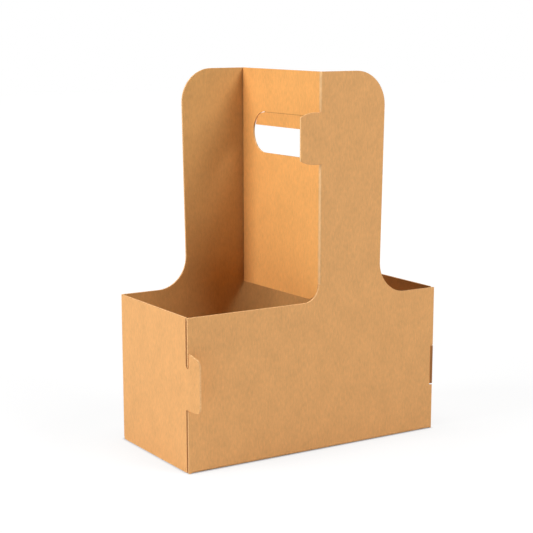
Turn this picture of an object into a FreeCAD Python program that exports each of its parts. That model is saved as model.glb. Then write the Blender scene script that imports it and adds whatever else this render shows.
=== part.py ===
import FreeCAD, Part
import math
import os
import re

import Sketcher

# Cup carrier folded from one sheet of kraft board, in millimetres.
# X runs along the box, Y from front to rear, Z up, and the origin is the middle of the base.
# The blank is a chain of front panel, base and rear panel, with an end panel folded forward
# from each side of the rear panel to a notch in the front panel's side edge. The left one is
# hooked through its notch, and the right one's hook is tucked in behind the front panel.
# A half-width handle panel rises from the front on the right and from the rear on the left.
# The front one carries a divider, folded back across the box along its middle, and the rear
# one carries a glue strip that is stuck to the divider's right face.

SIZES = {
    "box_length": 190.0,
    "box_depth": 90.0,
    "rim_height": 98.0,
    "carry_height": 243.0,
    "board": 1.2,
    "crease": 0.4,
    "edge_gap": 0.5,
    "front_half_width": 50.6,
    "rear_half_width": 48.0,
    "handle_taper": 1.8,
    "shoulder_radius": 22.0,
    "flare_radius": 21.0,
    "crotch_radius": 11.0,
    "hole_margin": 27.8,
    "hole_height": 27.0,
    "hole_reach": 76.0,
    "flap_drop": 9.3,
    "flap_slit": 0.4,
    "flap_tilt": 8.0,
    "tab_reach": 13.0,
    "tab_flare": 2.5,
    "tab_round": 22.0,
    "glue_width": 12.0,
    "glue_taper": 6.0,
    "hook_lead": 0.4,
    "hook_foot": 40.3,
    "hook_root": 26.2,
    "hook_rise": 9.3,
    "hook_reach": 12.0,
    "hook_slack": 0.9,
    "hook_crease": 2.0,
    "hook_corner": 4.0,
    "hook_round": 5.0,
    "hook_fall": 1.6,
    "hook_bend": 8.0,
}

LEFT_TURN = 1
RIGHT_TURN = -1

# Places that several panels share, as expressions on the sheet's cells.
LEFT = "(-box_length / 2)"
RIGHT = "(box_length / 2)"
FRONT = "(-box_depth / 2)"
REAR = "(box_depth / 2)"
FOLD = "(board + crease)"
BASE_LEFT = f"({LEFT} + board + edge_gap)"
BASE_RIGHT = f"({RIGHT} - board - edge_gap)"
SETBACK = f"(board + edge_gap + {FOLD} + hook_lead)"
END_FRONT = f"({FRONT} + {SETBACK})"
DIVIDER_LEFT = "(-board / 2)"
DIVIDER_RIGHT = "(board / 2)"
GLUE_RIGHT = f"({DIVIDER_RIGHT} + board)"
CROTCH = "(rim_height + crotch_radius)"
HOLE_TOP = "(carry_height - hole_margin)"
HOLE_BOTTOM = f"({HOLE_TOP} - hole_height)"
HOLE_MIDDLE = f"({HOLE_TOP} - hole_height / 2)"
HOLE_ROUND = "(hole_height / 2)"
TAB_ROOT_TOP = f"({HOLE_TOP} + tab_flare)"
TAB_ROOT_BOTTOM = f"({HOLE_BOTTOM} - tab_flare)"
HOOK_TOP = "(hook_foot + hook_root)"
HOOK_TIP = "(hook_foot + hook_root + hook_rise)"
NOTCH_FOOT = "(hook_foot - edge_gap)"
NOTCH_TOP = f"({HOOK_TOP} + 2 * edge_gap)"
NOTCH_DEPTH = "(board + edge_gap)"

document = FreeCAD.newDocument("cup_carrier")


def make_sheet():
    """Put every driving dimension in a named cell."""
    sheet = document.addObject("Spreadsheet::Sheet", "Sizes")
    for row, (name, value) in enumerate(SIZES.items(), start=1):
        sheet.set(f"A{row}", name)
        sheet.set(f"B{row}", str(value))
        sheet.setAlias(f"B{row}", name)
    document.recompute()
    return sheet


sizes = make_sheet()


def cell_refs(text):
    """Turn the size names in an expression into references to the sheet.

    A word before a bracket is a function, such as sqrt, and stays as it is.
    """
    return re.sub(r"\b[a-z]\w*\b(?!\()", lambda word: "Sizes." + word.group(0), text)


def value_of(text):
    """Work an expression out with the sheet's present values."""
    return float(sizes.evalExpression(cell_refs(text)))


def arc_between(start, end, radius, turn):
    """Make the short arc that leaves start for end, turning left or right."""
    middle = (start + end) * 0.5
    chord = end - start
    rise = math.sqrt(max(radius ** 2 - (chord.Length / 2) ** 2, 0.0))
    aside = FreeCAD.Vector(-chord.y, chord.x, 0).normalize() * (rise * turn)
    centre = middle + aside
    first, last = (start, end) if turn == LEFT_TURN else (end, start)
    first_angle = math.atan2(first.y - centre.y, first.x - centre.x)
    last_angle = math.atan2(last.y - centre.y, last.x - centre.x)
    circle = Part.Circle(centre, FreeCAD.Vector(0, 0, 1), radius)
    return Part.ArcOfCircle(circle, first_angle, last_angle)


def draw(body, name, plane_role, corners):
    """Draw a closed outline whose corners and radii follow the sheet.

    A corner is (across, up), or (across, up, radius, turn) where an arc leaves it.
    """
    sketch = body.newObject("Sketcher::SketchObject", name)
    plane = next(item for item in body.Origin.OriginFeatures if item.Role == plane_role)
    sketch.AttachmentSupport = [(plane, "")]
    sketch.MapMode = "FlatFace"
    points = [FreeCAD.Vector(value_of(corner[0]), value_of(corner[1]), 0) for corner in corners]
    ends = []
    for index, corner in enumerate(corners):
        start, end = points[index], points[(index + 1) % len(points)]
        if len(corner) == 2:
            sketch.addGeometry(Part.LineSegment(start, end), False)
            ends.append((1, 2))
            continue
        radius, turn = corner[2:]
        sketch.addGeometry(arc_between(start, end, value_of(radius), turn), False)
        ends.append((1, 2) if turn == LEFT_TURN else (2, 1))
    for index, (_, last) in enumerate(ends):
        following = (index + 1) % len(ends)
        sketch.addConstraint(Sketcher.Constraint("Coincident", index, last, following, ends[following][0]))
    for index, corner in enumerate(corners):
        first = ends[index][0]
        bind(sketch, Sketcher.Constraint("DistanceX", index, first, points[index].x), corner[0])
        bind(sketch, Sketcher.Constraint("DistanceY", index, first, points[index].y), corner[1])
        if len(corner) > 2:
            bind(sketch, Sketcher.Constraint("Radius", index, value_of(corner[2])), corner[2])
    return sketch


def bind(sketch, constraint, expression):
    """Add a dimension to a sketch and tie it to the sheet."""
    index = sketch.addConstraint(constraint)
    sketch.setExpression(f"Constraints[{index}]", cell_refs(expression))


def shift(sketch, axis, expression):
    """Move a sketch off its origin plane, along one of the sketch's own axes."""
    sketch.setExpression(f"AttachmentOffset.Base.{axis}", cell_refs(expression))


def tilt(sketch, axis, degrees):
    """Turn a sketch about an axis through its own origin."""
    offset = sketch.AttachmentOffset
    offset.Rotation = FreeCAD.Rotation(axis, value_of(degrees))
    sketch.AttachmentOffset = offset
    sketch.setExpression("AttachmentOffset.Rotation.Angle", cell_refs(degrees))


def pad(body, name, sketch, length, backwards=False):
    """Give an outline its thickness or height, and fuse it to the sheet."""
    feature = body.newObject("PartDesign::Pad", name)
    feature.Profile = sketch
    feature.setExpression("Length", cell_refs(length))
    feature.Reversed = backwards
    return feature


def add_base(body):
    """Base panel with the rounded folds that lead into the front and rear panels."""
    section = draw(body, "BaseSection", "YZ_Plane", [
        (FRONT, FOLD, FOLD, LEFT_TURN),
        (f"{FRONT} + {FOLD}", "0"),
        (f"{REAR} - {FOLD}", "0", FOLD, LEFT_TURN),
        (REAR, FOLD),
        (f"{REAR} - board", FOLD, "crease", RIGHT_TURN),
        (f"{REAR} - {FOLD}", "board"),
        (f"{FRONT} + {FOLD}", "board", "crease", RIGHT_TURN),
        (f"{FRONT} + board", FOLD),
    ])
    shift(section, "z", BASE_LEFT)
    pad(body, "Base", section, f"{BASE_RIGHT} - {BASE_LEFT}")


def add_front_panel(body):
    """Front panel with the half handle panel, its pop-out tab and the two hook notches."""
    flat_start = f"({DIVIDER_LEFT} + {FOLD})"
    tab_end = f"({DIVIDER_LEFT} - tab_reach)"
    low_notch = (f"(rim_height - {NOTCH_TOP})", f"(rim_height - {NOTCH_FOOT})")
    outline = draw(body, "FrontOutline", "XZ_Plane", [
        (LEFT, "0"),
        (BASE_LEFT, "0"),
        (BASE_LEFT, FOLD),
        (BASE_RIGHT, FOLD),
        (BASE_RIGHT, "0"),
        (RIGHT, "0"),
        (RIGHT, low_notch[0]),
        (f"{RIGHT} - {NOTCH_DEPTH}", low_notch[0]),
        (f"{RIGHT} - {NOTCH_DEPTH}", low_notch[1]),
        (RIGHT, low_notch[1]),
        (RIGHT, "rim_height"),
        ("front_half_width - handle_taper + flare_radius", "rim_height", "flare_radius", RIGHT_TURN),
        ("front_half_width - handle_taper", "rim_height + flare_radius"),
        ("front_half_width", "carry_height - shoulder_radius", "shoulder_radius", LEFT_TURN),
        ("front_half_width - shoulder_radius", "carry_height"),
        (flat_start, "carry_height"),
        (flat_start, TAB_ROOT_TOP),
        (DIVIDER_LEFT, TAB_ROOT_TOP, "tab_round", LEFT_TURN),
        (tab_end, HOLE_TOP),
        (tab_end, HOLE_BOTTOM, "tab_round", LEFT_TURN),
        (DIVIDER_LEFT, TAB_ROOT_BOTTOM),
        (flat_start, TAB_ROOT_BOTTOM),
        (flat_start, CROTCH),
        (DIVIDER_LEFT, CROTCH, "crotch_radius", RIGHT_TURN),
        (f"{DIVIDER_LEFT} - crotch_radius", "rim_height"),
        (LEFT, "rim_height"),
        (LEFT, NOTCH_TOP),
        (f"{LEFT} + {NOTCH_DEPTH}", NOTCH_TOP),
        (f"{LEFT} + {NOTCH_DEPTH}", NOTCH_FOOT),
        (LEFT, NOTCH_FOOT),
    ])
    shift(outline, "z", f"-{FRONT}")
    pad(body, "FrontPanel", outline, "board", backwards=True)


def add_rear_and_ends(body):
    """Rear panel with both end panels folded forward from it."""
    plan = draw(body, "WallPlan", "XY_Plane", [
        (LEFT, END_FRONT),
        (f"{LEFT} + board", END_FRONT),
        (f"{LEFT} + board", f"{REAR} - {FOLD}", "crease", RIGHT_TURN),
        (f"{LEFT} + {FOLD}", f"{REAR} - board"),
        (f"{RIGHT} - {FOLD}", f"{REAR} - board", "crease", RIGHT_TURN),
        (f"{RIGHT} - board", f"{REAR} - {FOLD}"),
        (f"{RIGHT} - board", END_FRONT),
        (RIGHT, END_FRONT),
        (RIGHT, f"{REAR} - {FOLD}", FOLD, LEFT_TURN),
        (f"{RIGHT} - {FOLD}", REAR),
        (f"{LEFT} + {FOLD}", REAR, FOLD, LEFT_TURN),
        (LEFT, f"{REAR} - {FOLD}"),
    ])
    shift(plan, "z", FOLD)
    pad(body, "RearAndEnds", plan, f"rim_height - {FOLD}")


def add_end_foot(body, side, inner, outer):
    """Bottom edge of an end panel, which reaches the ground beside the base panel."""
    plan = draw(body, f"{side}FootPlan", "XY_Plane", [
        (inner, END_FRONT),
        (outer, END_FRONT),
        (outer, f"{REAR} - {FOLD}"),
        (inner, f"{REAR} - {FOLD}"),
    ])
    pad(body, f"{side}Foot", plan, FOLD)


def add_front_fold(body, name, foot, top):
    """Rounded fold between the front handle panel and the divider, over one height."""
    plan = draw(body, f"{name}Plan", "XY_Plane", [
        (DIVIDER_LEFT, f"{FRONT} + {FOLD}", FOLD, LEFT_TURN),
        (f"{DIVIDER_LEFT} + {FOLD}", FRONT),
        (f"{DIVIDER_LEFT} + {FOLD}", f"{FRONT} + board", "crease", RIGHT_TURN),
        (DIVIDER_RIGHT, f"{FRONT} + {FOLD}"),
    ])
    shift(plan, "z", foot)
    pad(body, name, plan, f"{top} - {foot}")


def add_divider(body):
    """Divider across the box, with the hand hole open to the fold where the tab left it."""
    fold_edge = f"({FRONT} + {FOLD})"
    rear_edge = f"({REAR} - board - edge_gap)"
    tab_end = f"({FRONT} + tab_reach)"
    round_centre = f"({FRONT} + hole_reach - {HOLE_ROUND})"
    outline = draw(body, "DividerOutline", "YZ_Plane", [
        (f"{fold_edge} + crotch_radius", "rim_height"),
        (rear_edge, "rim_height"),
        (rear_edge, "carry_height"),
        (fold_edge, "carry_height"),
        (fold_edge, TAB_ROOT_TOP, "tab_round", RIGHT_TURN),
        (tab_end, HOLE_TOP),
        (round_centre, HOLE_TOP, HOLE_ROUND, RIGHT_TURN),
        (f"{FRONT} + hole_reach", HOLE_MIDDLE, HOLE_ROUND, RIGHT_TURN),
        (round_centre, HOLE_BOTTOM),
        (tab_end, HOLE_BOTTOM, "tab_round", RIGHT_TURN),
        (fold_edge, TAB_ROOT_BOTTOM),
        (fold_edge, CROTCH, "crotch_radius", LEFT_TURN),
    ])
    shift(outline, "z", DIVIDER_LEFT)
    pad(body, "Divider", outline, "board")


def add_hole_flap(body):
    """Flap cut from the hand hole, hinged along its top edge and pushed back a little."""
    slit_end = f"({FRONT} + tab_reach + flap_slit)"
    hinge_end = f"({FRONT} + hole_reach - {HOLE_ROUND})"
    flap_round = f"({HOLE_ROUND} - flap_slit)"
    round_width = f"sqrt({flap_round}^2 - ({HOLE_ROUND} - flap_drop)^2)"
    outline = draw(body, "FlapOutline", "YZ_Plane", [
        (slit_end, "-flap_drop"),
        (f"{hinge_end} + {round_width}", "-flap_drop", flap_round, LEFT_TURN),
        (hinge_end, "-flap_slit"),
        (hinge_end, "0"),
        (slit_end, "0"),
    ])
    shift(outline, "y", HOLE_TOP)
    shift(outline, "z", DIVIDER_LEFT)
    tilt(outline, FreeCAD.Vector(-1, 0, 0), "flap_tilt")
    pad(body, "HoleFlap", outline, "board")


def add_rear_handle(body):
    """Half handle panel that rises from the rear panel on the left."""
    left_edge = "(-rear_half_width)"
    foot_edge = "(handle_taper - rear_half_width)"
    flat_end = f"({GLUE_RIGHT} - {FOLD})"
    outline = draw(body, "RearHandleOutline", "XZ_Plane", [
        (f"{foot_edge} - flare_radius", "rim_height"),
        (f"{GLUE_RIGHT} + crotch_radius", "rim_height", "crotch_radius", RIGHT_TURN),
        (GLUE_RIGHT, CROTCH),
        (flat_end, CROTCH),
        (flat_end, "carry_height"),
        (f"{left_edge} + shoulder_radius", "carry_height", "shoulder_radius", LEFT_TURN),
        (left_edge, "carry_height - shoulder_radius"),
        (foot_edge, "rim_height + flare_radius", "flare_radius", RIGHT_TURN),
    ])
    shift(outline, "z", f"-{REAR}")
    pad(body, "RearHandle", outline, "board")


def add_glue_strip(body):
    """Fold at the rear handle panel's inner edge, and the strip glued to the divider."""
    plan = draw(body, "GlueFoldPlan", "XY_Plane", [
        (GLUE_RIGHT, f"{REAR} - {FOLD}", FOLD, LEFT_TURN),
        (f"{GLUE_RIGHT} - {FOLD}", REAR),
        (f"{GLUE_RIGHT} - {FOLD}", f"{REAR} - board", "crease", RIGHT_TURN),
        (DIVIDER_RIGHT, f"{REAR} - {FOLD}"),
    ])
    shift(plan, "z", CROTCH)
    pad(body, "GlueFold", plan, f"carry_height - {CROTCH}")
    outline = draw(body, "GlueOutline", "YZ_Plane", [
        (f"{REAR} - glue_width", f"{CROTCH} + glue_taper"),
        (f"{REAR} - {FOLD}", CROTCH),
        (f"{REAR} - {FOLD}", "carry_height"),
        (f"{REAR} - glue_width", "carry_height - glue_taper"),
    ])
    shift(outline, "z", DIVIDER_RIGHT)
    pad(body, "GlueStrip", outline, "board")


def add_left_hook(body):
    """Hook at the left end panel's front edge, passed through its notch over the front panel."""
    inner = f"({FRONT} - hook_slack)"
    bend_line = f"({FRONT} - hook_crease)"
    slot_round = f"(({SETBACK} + hook_slack) / 2)"
    slot_middle = f"({END_FRONT} - {slot_round})"
    slot_level = f"({HOOK_TOP} + {slot_round})"
    root = draw(body, "LeftHookRootOutline", "YZ_Plane", [
        (bend_line, "hook_foot"),
        (END_FRONT, "hook_foot"),
        (END_FRONT, slot_level, slot_round, RIGHT_TURN),
        (slot_middle, HOOK_TOP, slot_round, RIGHT_TURN),
        (inner, slot_level),
        (inner, HOOK_TIP),
        (bend_line, HOOK_TIP),
    ])
    shift(root, "z", LEFT)
    pad(body, "LeftHookRoot", root, "board")

    tip = "(hook_reach - hook_crease)"
    finger = draw(body, "LeftHookFingerOutline", "YZ_Plane", [
        ("0", "hook_foot"),
        ("0", HOOK_TIP),
        (f"hook_round - {tip}", f"{HOOK_TIP} - hook_fall", "hook_round", LEFT_TURN),
        (f"-{tip}", f"{HOOK_TIP} - hook_fall - hook_round"),
        (f"-{tip}", "hook_foot + hook_corner", "hook_corner", LEFT_TURN),
        (f"hook_corner - {tip}", "hook_foot"),
    ])
    shift(finger, "x", bend_line)
    shift(finger, "z", LEFT)
    tilt(finger, FreeCAD.Vector(0, 1, 0), "hook_bend")
    pad(body, "LeftHookFinger", finger, "board")


def add_right_hook(body):
    """Same hook upside down at the right end panel, folded in behind the front panel."""
    face = f"({FRONT} + board + edge_gap)"
    fold_start = f"({face} + {FOLD})"
    fold_end = f"({RIGHT} - {FOLD})"
    root_top = "(rim_height - hook_foot)"
    root_foot = f"(rim_height - {HOOK_TOP})"
    tip_foot = f"(rim_height - {HOOK_TIP})"
    plan = draw(body, "RightHookFoldPlan", "XY_Plane", [
        (RIGHT, END_FRONT),
        (f"{RIGHT} - board", END_FRONT),
        (f"{RIGHT} - board", fold_start, "crease", RIGHT_TURN),
        (fold_end, f"{face} + board"),
        (fold_end, face, FOLD, LEFT_TURN),
        (RIGHT, fold_start),
    ])
    shift(plan, "z", root_foot)
    pad(body, "RightHookFold", plan, "hook_root")

    slot_edge = f"({RIGHT} - {SETBACK} - hook_slack)"
    tip = f"({RIGHT} - {SETBACK} - hook_reach)"
    finger = draw(body, "RightHookFingerOutline", "XZ_Plane", [
        (fold_end, root_top),
        (f"{tip} + hook_corner", root_top, "hook_corner", LEFT_TURN),
        (tip, f"{root_top} - hook_corner"),
        (tip, f"{tip_foot} + hook_fall + hook_round", "hook_round", LEFT_TURN),
        (f"{tip} + hook_round", f"{tip_foot} + hook_fall"),
        (slot_edge, tip_foot),
        (slot_edge, root_foot),
        (fold_end, root_foot),
    ])
    shift(finger, "z", f"-{face}")
    pad(body, "RightHookFinger", finger, "board", backwards=True)


def make_carrier():
    """Build the folded sheet panel by panel, in the order in which they join."""
    body = document.addObject("PartDesign::Body", "CupCarrier")
    body.Label = "cup_carrier"
    add_base(body)
    add_front_panel(body)
    add_rear_and_ends(body)
    add_end_foot(body, "Left", LEFT, f"{LEFT} + board")
    add_end_foot(body, "Right", f"{RIGHT} - board", RIGHT)
    add_front_fold(body, "LowerFold", CROTCH, TAB_ROOT_BOTTOM)
    add_front_fold(body, "UpperFold", TAB_ROOT_TOP, "carry_height")
    add_divider(body)
    add_hole_flap(body)
    add_rear_handle(body)
    add_glue_strip(body)
    add_left_hook(body)
    add_right_hook(body)
    return body


def check(parts):
    """Stop if anything in the document failed or a part is not one sound solid."""
    for item in document.Objects:
        if "Invalid" in item.State or "Error" in item.State:
            raise RuntimeError(f"{item.Name} failed: {item.State}")
    for part in parts:
        shape = part.Shape
        if shape.isNull() or not shape.isValid() or len(shape.Solids) != 1:
            raise RuntimeError(f"{part.Label} is not one sound solid")
        print(part.Label, "volume", round(shape.Volume), "area", round(shape.Area), shape.BoundBox)


carrier = make_carrier()
carrier.Placement = FreeCAD.Placement()
document.recompute()
check([carrier])
os.makedirs("parts", exist_ok=True)
carrier.Shape.exportStep(os.path.join("parts", carrier.Label + ".step"))
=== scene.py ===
"""Cup carrier folded from one blank of kraft board, in metres.

The flat blank is drawn region by region: panels, and the strips that curve when a crease is
folded. A geometry node tree then folds the creases one after another, from the outermost to the
ones beside the base, so the whole carrier is a single sheet with its true thickness.
"""
import logging
import math
from dataclasses import dataclass
from enum import Enum

import bpy
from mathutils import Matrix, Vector


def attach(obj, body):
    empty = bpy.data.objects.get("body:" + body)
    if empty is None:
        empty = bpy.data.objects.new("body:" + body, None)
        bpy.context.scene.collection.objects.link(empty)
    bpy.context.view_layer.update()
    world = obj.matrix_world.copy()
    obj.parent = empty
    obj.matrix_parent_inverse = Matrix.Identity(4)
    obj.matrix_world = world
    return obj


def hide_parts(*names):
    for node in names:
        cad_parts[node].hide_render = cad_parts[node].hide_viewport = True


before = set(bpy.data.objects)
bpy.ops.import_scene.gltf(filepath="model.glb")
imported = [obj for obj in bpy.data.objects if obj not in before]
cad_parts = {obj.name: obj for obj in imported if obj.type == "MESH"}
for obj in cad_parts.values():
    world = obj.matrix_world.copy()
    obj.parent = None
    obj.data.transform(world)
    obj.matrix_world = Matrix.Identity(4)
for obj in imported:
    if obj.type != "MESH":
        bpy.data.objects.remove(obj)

LOG = logging.getLogger("cup_carrier")
MM = 0.001
WHITE = (1.0, 1.0, 1.0, 1.0)

Point = tuple[float, float]
Tone = tuple[float, float, float]


class Turn(Enum):
    """Which way an arc leaves its start point."""

    LEFT = 1
    RIGHT = -1


class Side(Enum):
    """An end of the tray, and the way of X in which it lies."""

    LEFT = -1
    RIGHT = 1


class Axis(Enum):
    """Which coordinate of a panel's drawing runs away from its crease."""

    ACROSS = "across"
    UP = "up"


class Coat(Enum):
    """Material slots of the board, in the order in which its mesh holds them."""

    LINER = 0
    CUT = 1


@dataclass(frozen=True)
class CarrierSizes:
    """Sizes of the folded carrier, in millimetres.

    Args:
        length: Along the tray, over both ends.
        depth: Over the front and rear panels.
        rim: Height of the tray.
        height: Height of the handle panels.
        board: Thickness of the board.
        crease: Inner radius of a folded crease.
        gap: Clearance between edges that lie side by side.
        front_half: From the middle to the front handle panel's outer side, at the shoulder.
        rear_half: The same for the rear handle panel.
        handle_taper: How much nearer the middle that side is at the rim.
        shoulder: Radius of a handle panel's upper corner.
        flare: Radius with which its outer side runs out into the rim.
        crotch: Radius with which its inner side does.
        hole_margin: From the top down to the hand hole.
        hole_height: Height of the hand hole.
        hole_reach: From the front face to the hole's round rear end.
        flap_drop: Length of the flap that hangs from the hole's top edge.
        flap_slit: Width of the cut beside the flap.
        flap_tilt: Degrees that the flap is pushed to the right.
        hinge_bend: Radius of the board's middle layer at the flap's hinge.
        tab_reach: Length of the tab beyond the divider's fold.
        tab_flare: How much further than the tab's tip its root reaches, above and below.
        tab_round: Radius of the tab's upper and lower sides.
        glue_width: From the rear face to the glue strip's free edge.
        glue_taper: How much shorter that edge is, above and below.
        glue_gap: Clearance between the glue strip and the divider.
        divider_shift: How far right of the middle the divider's fold lies.
        divider_turn: Degrees that the divider is turned in plan.
        left_setback: From the front face back to the left end's front edge.
        right_setback: The same for the right end.
        hem_depth: From the front face back to the fold of the right hook.
        hem_bend: Radius of the board's middle layer in that fold.
        hem_notch: Depth of the notch in which that fold shows.
        hook_foot: Height of the left hook's lower edge. The right one's is as far below the rim.
        hook_root: Height of the hook's root, which comes out through the notch.
        hook_rise: How much further than its root the hook's finger reaches.
        hook_reach: From the front face to the finger's tip.
        hook_slack: Gap between the front face and the finger's free part.
        hook_crease: From the front face to the line along which the hook bends.
        hook_corner: Radius of the tip's corner on the root's side.
        hook_round: Radius of the tip's other corner.
        hook_fall: How much the finger narrows towards the tip, on that other side.
        hook_trim: How much of the finger's length its bend takes up.
        side_trim: How much the front panel's right edge is set in.
        hook_bend: Degrees that the left finger is bent inwards.
    """

    length: float = 190.0
    depth: float = 90.0
    rim: float = 98.0
    height: float = 243.0
    board: float = 1.2
    crease: float = 0.4
    gap: float = 0.5
    front_half: float = 50.6
    rear_half: float = 48.0
    handle_taper: float = 1.8
    shoulder: float = 22.0
    flare: float = 21.0
    crotch: float = 11.0
    hole_margin: float = 27.8
    hole_height: float = 27.0
    hole_reach: float = 76.0
    flap_drop: float = 9.3
    flap_slit: float = 0.4
    flap_tilt: float = 8.0
    hinge_bend: float = 3.2
    tab_reach: float = 13.0
    tab_flare: float = 2.5
    tab_round: float = 22.0
    glue_width: float = 12.0
    glue_taper: float = 6.0
    glue_gap: float = 0.05
    divider_shift: float = 1.4
    divider_turn: float = 1.6
    left_setback: float = 2.8
    right_setback: float = 3.7
    hem_depth: float = 0.95
    hem_bend: float = 0.65
    hem_notch: float = 2.7
    hook_foot: float = 40.3
    hook_root: float = 26.2
    hook_rise: float = 9.3
    hook_reach: float = 12.0
    hook_slack: float = 0.9
    hook_crease: float = 2.0
    hook_corner: float = 4.0
    hook_round: float = 5.0
    hook_fall: float = 1.6
    hook_trim: float = 0.1
    side_trim: float = 0.5
    hook_bend: float = 8.0

    @property
    def left(self) -> float:
        """Outer face of the left end."""
        return -self.length / 2

    @property
    def right(self) -> float:
        """Outer face of the right end."""
        return self.length / 2

    @property
    def front(self) -> float:
        """Outer face of the front panel."""
        return -self.depth / 2

    @property
    def rear(self) -> float:
        """Outer face of the rear panel."""
        return self.depth / 2

    @property
    def fold(self) -> float:
        """Outer radius of a folded crease."""
        return self.board + self.crease

    @property
    def base_right(self) -> float:
        """Side edge of the base, just inside the end panel."""
        return self.right - self.board - self.gap

    @property
    def hole_top(self) -> float:
        """Height of the hand hole's top edge."""
        return self.height - self.hole_margin

    @property
    def hole_bottom(self) -> float:
        """Height of the hand hole's bottom edge."""
        return self.hole_top - self.hole_height


@dataclass(frozen=True)
class Layout:
    """Places a panel's own drawing on the flat blank.

    A panel is drawn in the two coordinates that it has once folded, so its numbers are the
    heights and depths of the finished carrier.

    Args:
        origin: The blank's point for the drawing's own origin.
        across: Direction, on the blank, of the drawing's first coordinate.
        up: Direction of its second coordinate.
    """

    origin: Vector
    across: Vector
    up: Vector

    def place(self, point: Point) -> Vector:
        """Return the blank's point for a point of the drawing."""
        return self.origin + self.across * point[0] + self.up * point[1]


@dataclass
class Crease:
    """A straight fold of the blank, with everything that turns with it.

    Args:
        name: What the fold's angle is called among the node tree's inputs.
        start: Point of the blank where the bend begins.
        reach: Unit direction, on the blank, from there to the panel that turns.
        degrees: How far that panel turns, towards the blank's upper face.
        radius: Radius of the board's middle layer in the bend.
        strips: Numbers of the first and last strip that curve along it.
        last: Number of the last region that turns with it.
    """

    name: str
    start: Vector
    reach: Vector
    degrees: float
    radius: float
    strips: tuple[int, int]
    last: int = 0

    @property
    def length(self) -> float:
        """Width of the strip that curves, on the flat blank."""
        return self.radius * math.radians(self.degrees)


@dataclass(frozen=True)
class Corner:
    """A corner of an outline, with the side that leaves it.

    Args:
        x: First coordinate in the panel's drawing.
        y: Second coordinate.
        radius: Radius of that side where it is an arc, or 0 where it is straight.
        turn: Which way the arc curves.
        joined: Whether that side runs along a crease.
    """

    x: float
    y: float
    radius: float = 0.0
    turn: Turn = Turn.LEFT
    joined: bool = False


@dataclass(frozen=True)
class Region:
    """A piece of the flat blank that lies between creases and cut edges.

    Args:
        number: Its place among the regions, which says what creases turn it.
        layout: Where its drawing lies on the blank.
        corners: Its outline.
        rows: Into how many rows a strip is divided.
        tones: Tone of each liner, 0 plain, 0.5 with painted bounce light, 1 with painted shade.
        ridge: How much painted highlight a strip's outer liner gets, or painted shade below 0.
    """

    number: int
    layout: Layout
    corners: list[Corner]
    rows: int
    tones: tuple[float, float]
    ridge: float


def side_points(start: Corner, end: Corner, step: float = 6.0) -> list[Point]:
    """Work out the points of the side from one corner to the next.

    Args:
        start: Corner with the side's radius and the way it turns.
        end: Corner where the side stops.
        step: Degrees between two points of an arc.

    Returns:
        The points, without the last one.
    """
    if not start.radius:
        return [(start.x, start.y)]
    a, b = Vector((start.x, start.y)), Vector((end.x, end.y))
    chord = b - a
    rise = math.sqrt(max(start.radius ** 2 - (chord.length / 2) ** 2, 0.0))
    side = Vector((-chord.y, chord.x)).normalized() * rise * start.turn.value
    centre = (a + b) / 2 + side
    first = math.atan2(a.y - centre.y, a.x - centre.x)
    sweep = (math.atan2(b.y - centre.y, b.x - centre.x) - first) * start.turn.value % math.tau
    count = max(2, round(math.degrees(sweep) / step))
    angles = [first + start.turn.value * sweep * i / count for i in range(count)]
    return [(centre.x + start.radius * math.cos(t), centre.y + start.radius * math.sin(t))
            for t in angles]


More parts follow.
